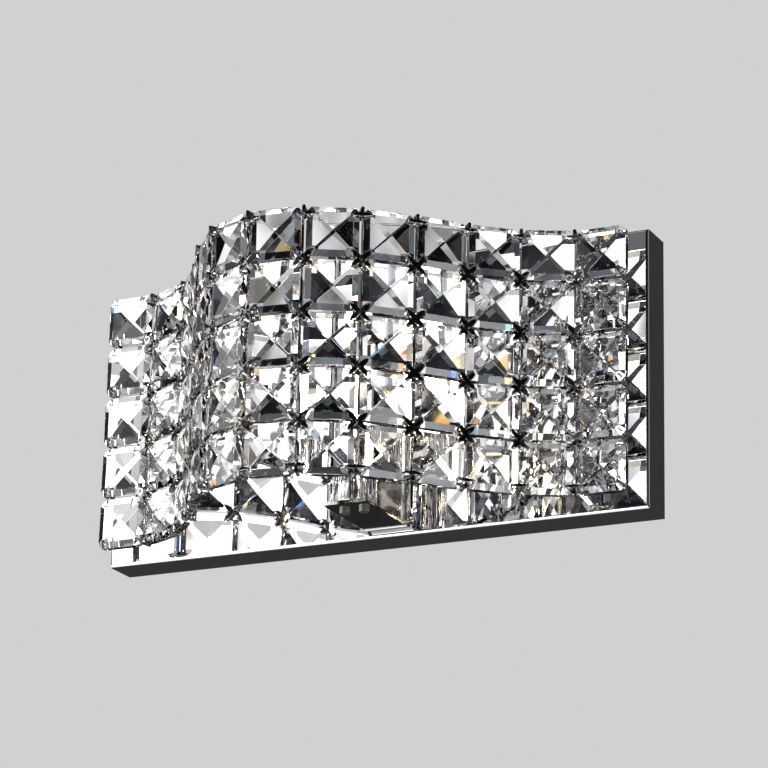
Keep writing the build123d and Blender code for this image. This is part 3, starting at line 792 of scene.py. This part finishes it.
cameraPlace = {
    "location": (0.74939, -1.5380, -0.55451),
    "left": 26.107,
    "up": 18.462,
    "roll": 1.298,
    "lens": 158.1,
    "sensor": 36.0,
    "farthest": 50.0,
}
yaw, pitch, roll = (math.radians(cameraPlace[key]) for key in ("left", "up", "roll"))
forward = Vector((
    -math.sin(yaw) * math.cos(pitch), math.cos(yaw) * math.cos(pitch), math.sin(pitch)))
rightWay = Vector((math.cos(yaw), math.sin(yaw), 0))
upWay = rightWay.cross(forward)
rolledRight = rightWay * math.cos(roll) + upWay * math.sin(roll)
rolledUp = upWay * math.cos(roll) - rightWay * math.sin(roll)
cameraTurn = Matrix((rolledRight, rolledUp, -forward)).transposed().to_4x4()
cameraData = bpy.data.cameras.new("camera")
cameraData.lens = cameraPlace["lens"]
cameraData.sensor_width = cameraPlace["sensor"]
cameraData.clip_end = cameraPlace["farthest"]
camera = bpy.data.objects.new("camera", cameraData)
camera.matrix_world = Matrix.Translation(cameraPlace["location"]) @ cameraTurn
bpy.context.scene.collection.objects.link(camera)
bpy.context.scene.camera = camera
bpy.context.scene.view_settings.view_transform = "Standard"

# studio: a pale floor and backdrop

studio = {
    "floorHeight": -1.4,
    "floorSize": 9.0,
    "floorColours": [(0.3, (0.8036, 0.7938, 0.784)), (0.7, (0.82, 0.81, 0.8))],
    "floorPattern": 3.0,
    "floorRoughness": 0.9,
    "backdrop": (0.64, 0.635, 0.63),
    "fill": (0.5, 0.5, 0.5),
}
bm = bmesh.new()
bmesh.ops.create_grid(bm, x_segments=2, y_segments=2, size=studio["floorSize"])
bmesh.ops.translate(bm, vec=(0, 0, studio["floorHeight"]), verts=bm.verts)
floorMesh = bpy.data.meshes.new("floor")
bm.to_mesh(floorMesh)
bm.free()
floor = bpy.data.objects.new("floor", floorMesh)
bpy.context.scene.collection.objects.link(floor)
floorMaterial, floorTree, floorShader, floorPlace = newMaterial("paleFloor")
addMottle(floorTree, floorPlace, floorShader.inputs["Base Color"],
          studio["floorPattern"], detail=3.0, stops=studio["floorColours"])
floorShader.inputs["Roughness"].default_value = studio["floorRoughness"]
floor.data.materials.append(floorMaterial)
floor.visible_glossy = False

# what the glass and metal see: ways point from the light into the room, sizes are degrees round
# them, shares dim a tone, and a list gives a tone from each place between 0 and 1

world = bpy.data.worlds.new("studio")
bpy.context.scene.world = world
world.use_nodes = True
tree = world.node_tree
lightPath = tree.nodes.new("ShaderNodeLightPath")
around = tree.nodes.new("ShaderNodeTexCoord").outputs["Generated"]
way = tree.nodes.new("ShaderNodeSeparateXYZ")
tree.links.new(around, way.inputs["Vector"])


def addCells(scale):
    # patches of the room, each with three chances of its own between 0 and 1
    cells = tree.nodes.new("ShaderNodeTexVoronoi")
    cells.inputs["Scale"].default_value = scale
    tree.links.new(around, cells.inputs["Vector"])
    chances = tree.nodes.new("ShaderNodeSeparateColor")
    tree.links.new(cells.outputs["Color"], chances.inputs["Color"])
    return chances


def addTest(operation, source, value):
    test = tree.nodes.new("ShaderNodeMath")
    test.operation = operation
    tree.links.new(source, test.inputs[0])
    if isinstance(value, float):
        test.inputs[1].default_value = value
    else:
        tree.links.new(value, test.inputs[1])
    return test.outputs["Value"]


def addDisc(direction, degrees):
    facing = tree.nodes.new("ShaderNodeVectorMath")
    facing.operation = "DOT_PRODUCT"
    facing.inputs[1].default_value = Vector(direction).normalized()
    tree.links.new(around, facing.inputs[0])
    return addTest("GREATER_THAN", facing.outputs["Value"], math.cos(math.radians(degrees)))


def addMix(test, otherwise, inside):
    # inside where the test holds, otherwise elsewhere
    mix = tree.nodes.new("ShaderNodeMix")
    mix.data_type = "RGBA"
    tree.links.new(test, mix.inputs["Factor"])
    for name, source in (("A", otherwise), ("B", inside)):
        if isinstance(source, tuple):
            mix.inputs[name].default_value = (*source, 1)
        else:
            tree.links.new(source, mix.inputs[name])
    return mix.outputs["Result"]


def addDim(source, share):
    dim = tree.nodes.new("ShaderNodeVectorMath")
    dim.operation = "SCALE"
    tree.links.new(source, dim.inputs[0])
    if isinstance(share, float):
        dim.inputs["Scale"].default_value = share
    else:
        tree.links.new(share, dim.inputs["Scale"])
    return dim.outputs["Vector"]


# through the crystals: a patchwork of soft boxes and black cloths, with small coloured sparks

throughRoom = {
    "patches": 5.0,
    "tones": [
        (0.0, (0.008, 0.008, 0.01)), (0.32, (0.03, 0.032, 0.038)), (0.44, (0.11, 0.12, 0.14)),
        (0.53, (0.3, 0.33, 0.37)), (0.64, (0.74, 0.68, 0.58)), (0.75, (1.15, 1.12, 1.07)),
        (0.88, (1.7, 1.7, 1.7))],
    "boxWay": (-0.6, -0.77, -0.22),
    "boxSize": 9.0,
    "boxTone": (1.6, 1.59, 1.57),
    "clothWays": ((-0.43, -0.86, 0.27), (-0.68, -0.73, 0.05)),
    "clothSize": 6.5,
    "clothTone": (0.05, 0.051, 0.056),
    "clouds": 22.0,
    "cloudShares": (-0.4, 2.4),
    "streaks": 95.0,
    "streakStretch": (1, 1, 0.12),
    "streakShares": (-0.5, 2.5),
    "sparks": 24.0,
    "sparkShare": 0.025,
    "rainbow": 45.0,
    "rainbowTones": [
        (0.3, (0.1, 0.25, 1.3)), (0.42, (0.3, 0.9, 1.1)), (0.5, (1.4, 1.4, 1.3)),
        (0.56, (1.6, 1.2, 0.4)), (0.62, (1.3, 0.6, 0.2)), (0.7, (0.8, 0.4, 0.2))],
    "wallFrom": 0.2,
    "wallShare": 0.3,
}
patches = addCells(throughRoom["patches"]).outputs["Red"]
panels = addRamp(tree, patches, throughRoom["tones"], "CONSTANT")
isBox = addDisc(throughRoom["boxWay"], throughRoom["boxSize"])
panels = addMix(isBox, panels, throughRoom["boxTone"])
for clothWay in throughRoom["clothWays"]:
    isCloth = addDisc(clothWay, throughRoom["clothSize"])
    panels = addMix(isCloth, panels, throughRoom["clothTone"])
clouds = addNoise(tree, around, throughRoom["clouds"], detail=1.0)
panels = addDim(panels, addRange(tree, clouds, *throughRoom["cloudShares"]))
streaks = addNoise(tree, around, throughRoom["streaks"], detail=1.0,
                   stretch=throughRoom["streakStretch"])
panels = addDim(panels, addRange(tree, streaks, *throughRoom["streakShares"]))
colours = addNoise(tree, around, throughRoom["rainbow"], detail=1.0)
rainbow = addRamp(tree, colours, throughRoom["rainbowTones"])
sparks = addCells(throughRoom["sparks"]).outputs["Green"]
isSpark = addTest("GREATER_THAN", sparks, 1 - throughRoom["sparkShare"])
panels = addMix(isSpark, panels, rainbow)
isWall = addTest("GREATER_THAN", way.outputs["Y"], throughRoom["wallFrom"])
through = addMix(isWall, panels, addDim(panels, throughRoom["wallShare"]))

# in the metal and on the crystals' own faces: a dark room with few lights, brightest low in front

mirrorRoom = {
    "glints": 13.0,
    "tones": [
        (0.0, (0.012, 0.012, 0.014)), (0.5, (0.03, 0.029, 0.031)), (0.8, (0.08, 0.08, 0.084)),
        (0.9, (0.45, 0.45, 0.45)), (0.94, (1.8, 1.78, 1.74))],
    "frontWay": (-0.42, -0.85, 0.32),
    "frontSize": 12.0,
    "frontSplit": -0.47,
    "frontTones": ((0.16, 0.16, 0.165), (1.1, 1.09, 1.07)),
    "lowBelow": -0.4,
    "lowBefore": 0.3,
    "lowTone": (1.5, 1.49, 1.46),
    "rightShare": 0.4,
    "wallTone": (0.28, 0.28, 0.285),
    "darkWays": ((-0.42, 0.85, -0.32), (0.42, 0.85, 0.32)),
    "darkSize": 16.0,
    "darkTone": (0.04, 0.038, 0.039),
}
glints = addCells(mirrorRoom["glints"]).outputs["Green"]
mirror = addRamp(tree, glints, mirrorRoom["tones"], "CONSTANT")
isFront = addDisc(mirrorRoom["frontWay"], mirrorRoom["frontSize"])
isLeftOfSplit = addTest("LESS_THAN", way.outputs["X"], mirrorRoom["frontSplit"])
mirror = addMix(isFront, mirror, addMix(isLeftOfSplit, *mirrorRoom["frontTones"]))
isBelow = addTest("LESS_THAN", way.outputs["Z"], mirrorRoom["lowBelow"])
isBefore = addTest("LESS_THAN", way.outputs["Y"], mirrorRoom["lowBefore"])
mirror = addMix(addTest("MULTIPLY", isBelow, isBefore), mirror, mirrorRoom["lowTone"])
isRight = addTest("GREATER_THAN", way.outputs["X"], 0.0)
mirror = addMix(isRight, mirror, addDim(mirror, mirrorRoom["rightShare"]))
mirror = addMix(isWall, mirror, mirrorRoom["wallTone"])
for darkWay in mirrorRoom["darkWays"]:
    isDark = addDisc(darkWay, mirrorRoom["darkSize"])
    mirror = addMix(isDark, mirror, mirrorRoom["darkTone"])

# the camera sees the plain backdrop, mirrored and passed rays see the two rooms, the rest a fill
isOutside = addTest("LESS_THAN", lightPath.outputs["Transmission Depth"], 0.5)
isSharp = addTest(
    "MAXIMUM", lightPath.outputs["Is Glossy Ray"], lightPath.outputs["Is Transmission Ray"])
plain = addMix(lightPath.outputs["Is Camera Ray"], studio["fill"], studio["backdrop"])
seen = addMix(isSharp, plain, addMix(isOutside, through, mirror))
tree.links.new(seen, tree.nodes["Background"].inputs["Color"])

# soft lamps: the near ones stand close to the curtain's left half and brighten it

middle, leftHalf = (0, -0.06, 0), (-0.09, -0.08, 0)
lamps = {
    "keyLamp": {
        "place": (-1.5, -0.7, 1.4), "target": middle, "size": (0.9, 0.6), "watts": 9.0},
    "sideLamp": {
        "place": (1.5, -0.7, -0.6), "target": middle, "size": (0.5, 1.0), "watts": 6.0},
    "nearBoxLow": {
        "place": (-0.285, -0.296, -0.12), "target": leftHalf, "size": (0.26, 0.16), "watts": 0.22},
    "nearBoxHigh": {
        "place": (-0.3, -0.296, 0.08), "target": leftHalf, "size": (0.24, 0.13), "watts": 0.16},
    "nearCard": {
        "place": (-0.42, -0.42, -0.02), "target": leftHalf, "size": (0.45, 0.5), "watts": 0.5},
    "lowLamp": {
        "place": (-0.5, -1.2, -0.9), "target": middle, "size": (0.8, 0.3), "watts": 3.0},
}


def addSoftLamp(name, place, target, size, watts):
    data = bpy.data.lights.new(name, "AREA")
    data.shape = "RECTANGLE"
    data.size, data.size_y = size
    data.energy = watts
    lamp = bpy.data.objects.new(name, data)
    lamp.location = place
    lamp.rotation_euler = (Vector(target) - Vector(place)).to_track_quat("-Z", "Y").to_euler()
    bpy.context.scene.collection.objects.link(lamp)


for name, lamp in lamps.items():
    addSoftLamp(name, **lamp)
print("studio and camera set")
